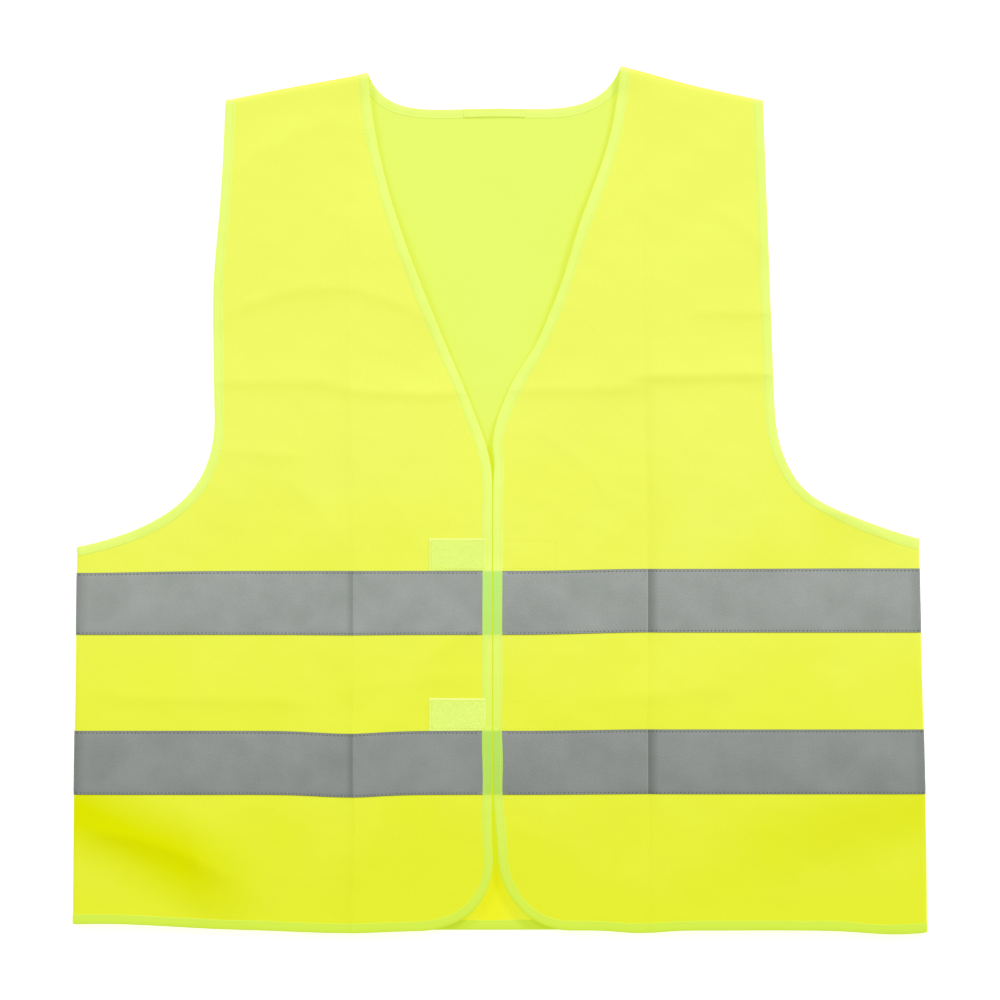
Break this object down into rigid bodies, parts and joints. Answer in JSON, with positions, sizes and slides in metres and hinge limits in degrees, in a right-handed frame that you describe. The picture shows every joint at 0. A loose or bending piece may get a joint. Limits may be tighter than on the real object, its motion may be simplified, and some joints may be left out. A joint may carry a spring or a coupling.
{
  "type": "high visibility vest",
  "caption": "Sleeveless high-visibility vest with a V neck, an open front with hook-and-loop strips, bound edges and reflective bands round the body.",
  "frame": {"origin": "middle of the outline of the vest, on the surface that it lies on", "axes": "+X towards the wearer's left, +Y from the hem to the neck, +Z out of the front of the vest as it lies on its back"},
  "size_m": [0.664, 0.672, 0.0088],
  "materials": {
    "cloth": "fine warp-knit polyester, fluorescent yellow, matt with a faint sheen",
    "edge_binding": "folded knit tape, pale fluorescent yellow-green, finely ribbed",
    "reflective_tape": "grey glass-bead retroreflective tape on a cloth backing",
    "thread": "twisted polyester sewing thread",
    "loop_tape": "brushed loop pile",
    "hook_tape": "woven tape with rows of moulded nylon hooks"
  },
  "bodies": {
    "vest_body": {"back_hem_binding": "edge_binding", "back_lower_band": "reflective_tape", "back_lower_stitching": "thread", "back_neck_binding": "edge_binding", "back_panel": "cloth", "back_upper_band": "reflective_tape", "back_upper_stitching": "thread", "left_armhole_binding_back": "edge_binding", "left_armhole_binding_front": "edge_binding", "left_front_hem_binding": "edge_binding", "left_front_lower_band": "reflective_tape", "left_front_lower_stitching": "thread", "left_front_neck_binding": "edge_binding", "left_front_panel": "cloth", "left_front_upper_band": "reflective_tape", "left_front_upper_stitching": "thread", "left_shoulder_seam": "cloth", "left_side_seam": "cloth", "neck_binding_lap": "edge_binding", "right_armhole_binding_back": "edge_binding", "right_armhole_binding_front": "edge_binding", "right_front_hem_binding": "edge_binding", "right_front_lower_band": "reflective_tape", "right_front_lower_stitching": "thread", "right_front_neck_binding": "edge_binding", "right_front_panel": "cloth", "right_front_upper_band": "reflective_tape", "right_front_upper_stitching": "thread", "right_shoulder_seam": "cloth", "right_side_seam": "cloth"},
    "right_front_flap": {"lower_loop_strip": "loop_tape", "right_flap_lower_band": "reflective_tape", "right_flap_lower_stitching": "thread", "right_flap_panel": "cloth", "right_flap_upper_band": "reflective_tape", "right_flap_upper_stitching": "thread", "right_front_edge_binding": "edge_binding", "upper_loop_strip": "loop_tape"},
    "left_front_flap": {"left_flap_lower_band": "reflective_tape", "left_flap_lower_stitching": "thread", "left_flap_panel": "cloth", "left_flap_upper_band": "reflective_tape", "left_flap_upper_stitching": "thread", "left_front_edge_binding": "edge_binding", "lower_hook_strip": "hook_tape", "upper_hook_strip": "hook_tape"}
  },
  "joints": [
    {"name": "right_front_opening", "type": "hinge", "parent": "vest_body", "child": "right_front_flap", "pos_m": [-0.09, -0.04, 0.0102], "axis": [0, -1, 0], "range_deg": [0, 178]},
    {"name": "left_front_opening", "type": "hinge", "parent": "vest_body", "child": "left_front_flap", "pos_m": [0.09, -0.04, 0.0102], "axis": [0, 1, 0], "range_deg": [0, 178]}
  ]
}
